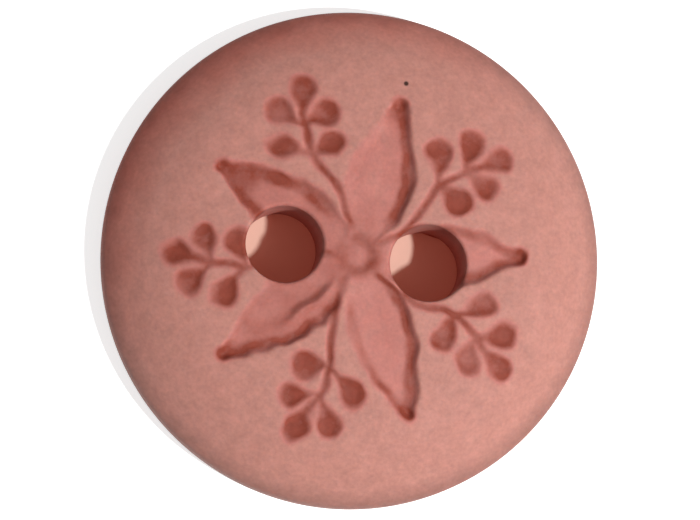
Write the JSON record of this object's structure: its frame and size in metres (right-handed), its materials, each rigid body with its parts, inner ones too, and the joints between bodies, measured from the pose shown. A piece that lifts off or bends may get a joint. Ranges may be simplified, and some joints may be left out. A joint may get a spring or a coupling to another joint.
{
  "type": "two-hole sewing button",
  "caption": "Round domed sewing button with a flat back, thread holes and a sunk ornament of leaves and berry sprigs.",
  "frame": {"origin": "centre of the bounding box's bottom, in the middle of the flat back", "axes": "+Z out of the ornamented face, with the thread holes nearly along X and +Y towards the picture's top"},
  "size_m": [0.015, 0.015, 0.0028],
  "materials": {
    "button_plastic": "matte, dusty terracotta pink, a little deeper and browner in the sunk ornament and round the rim"
  },
  "bodies": {
    "root": {"button": "button_plastic"}
  },
  "joints": []
}
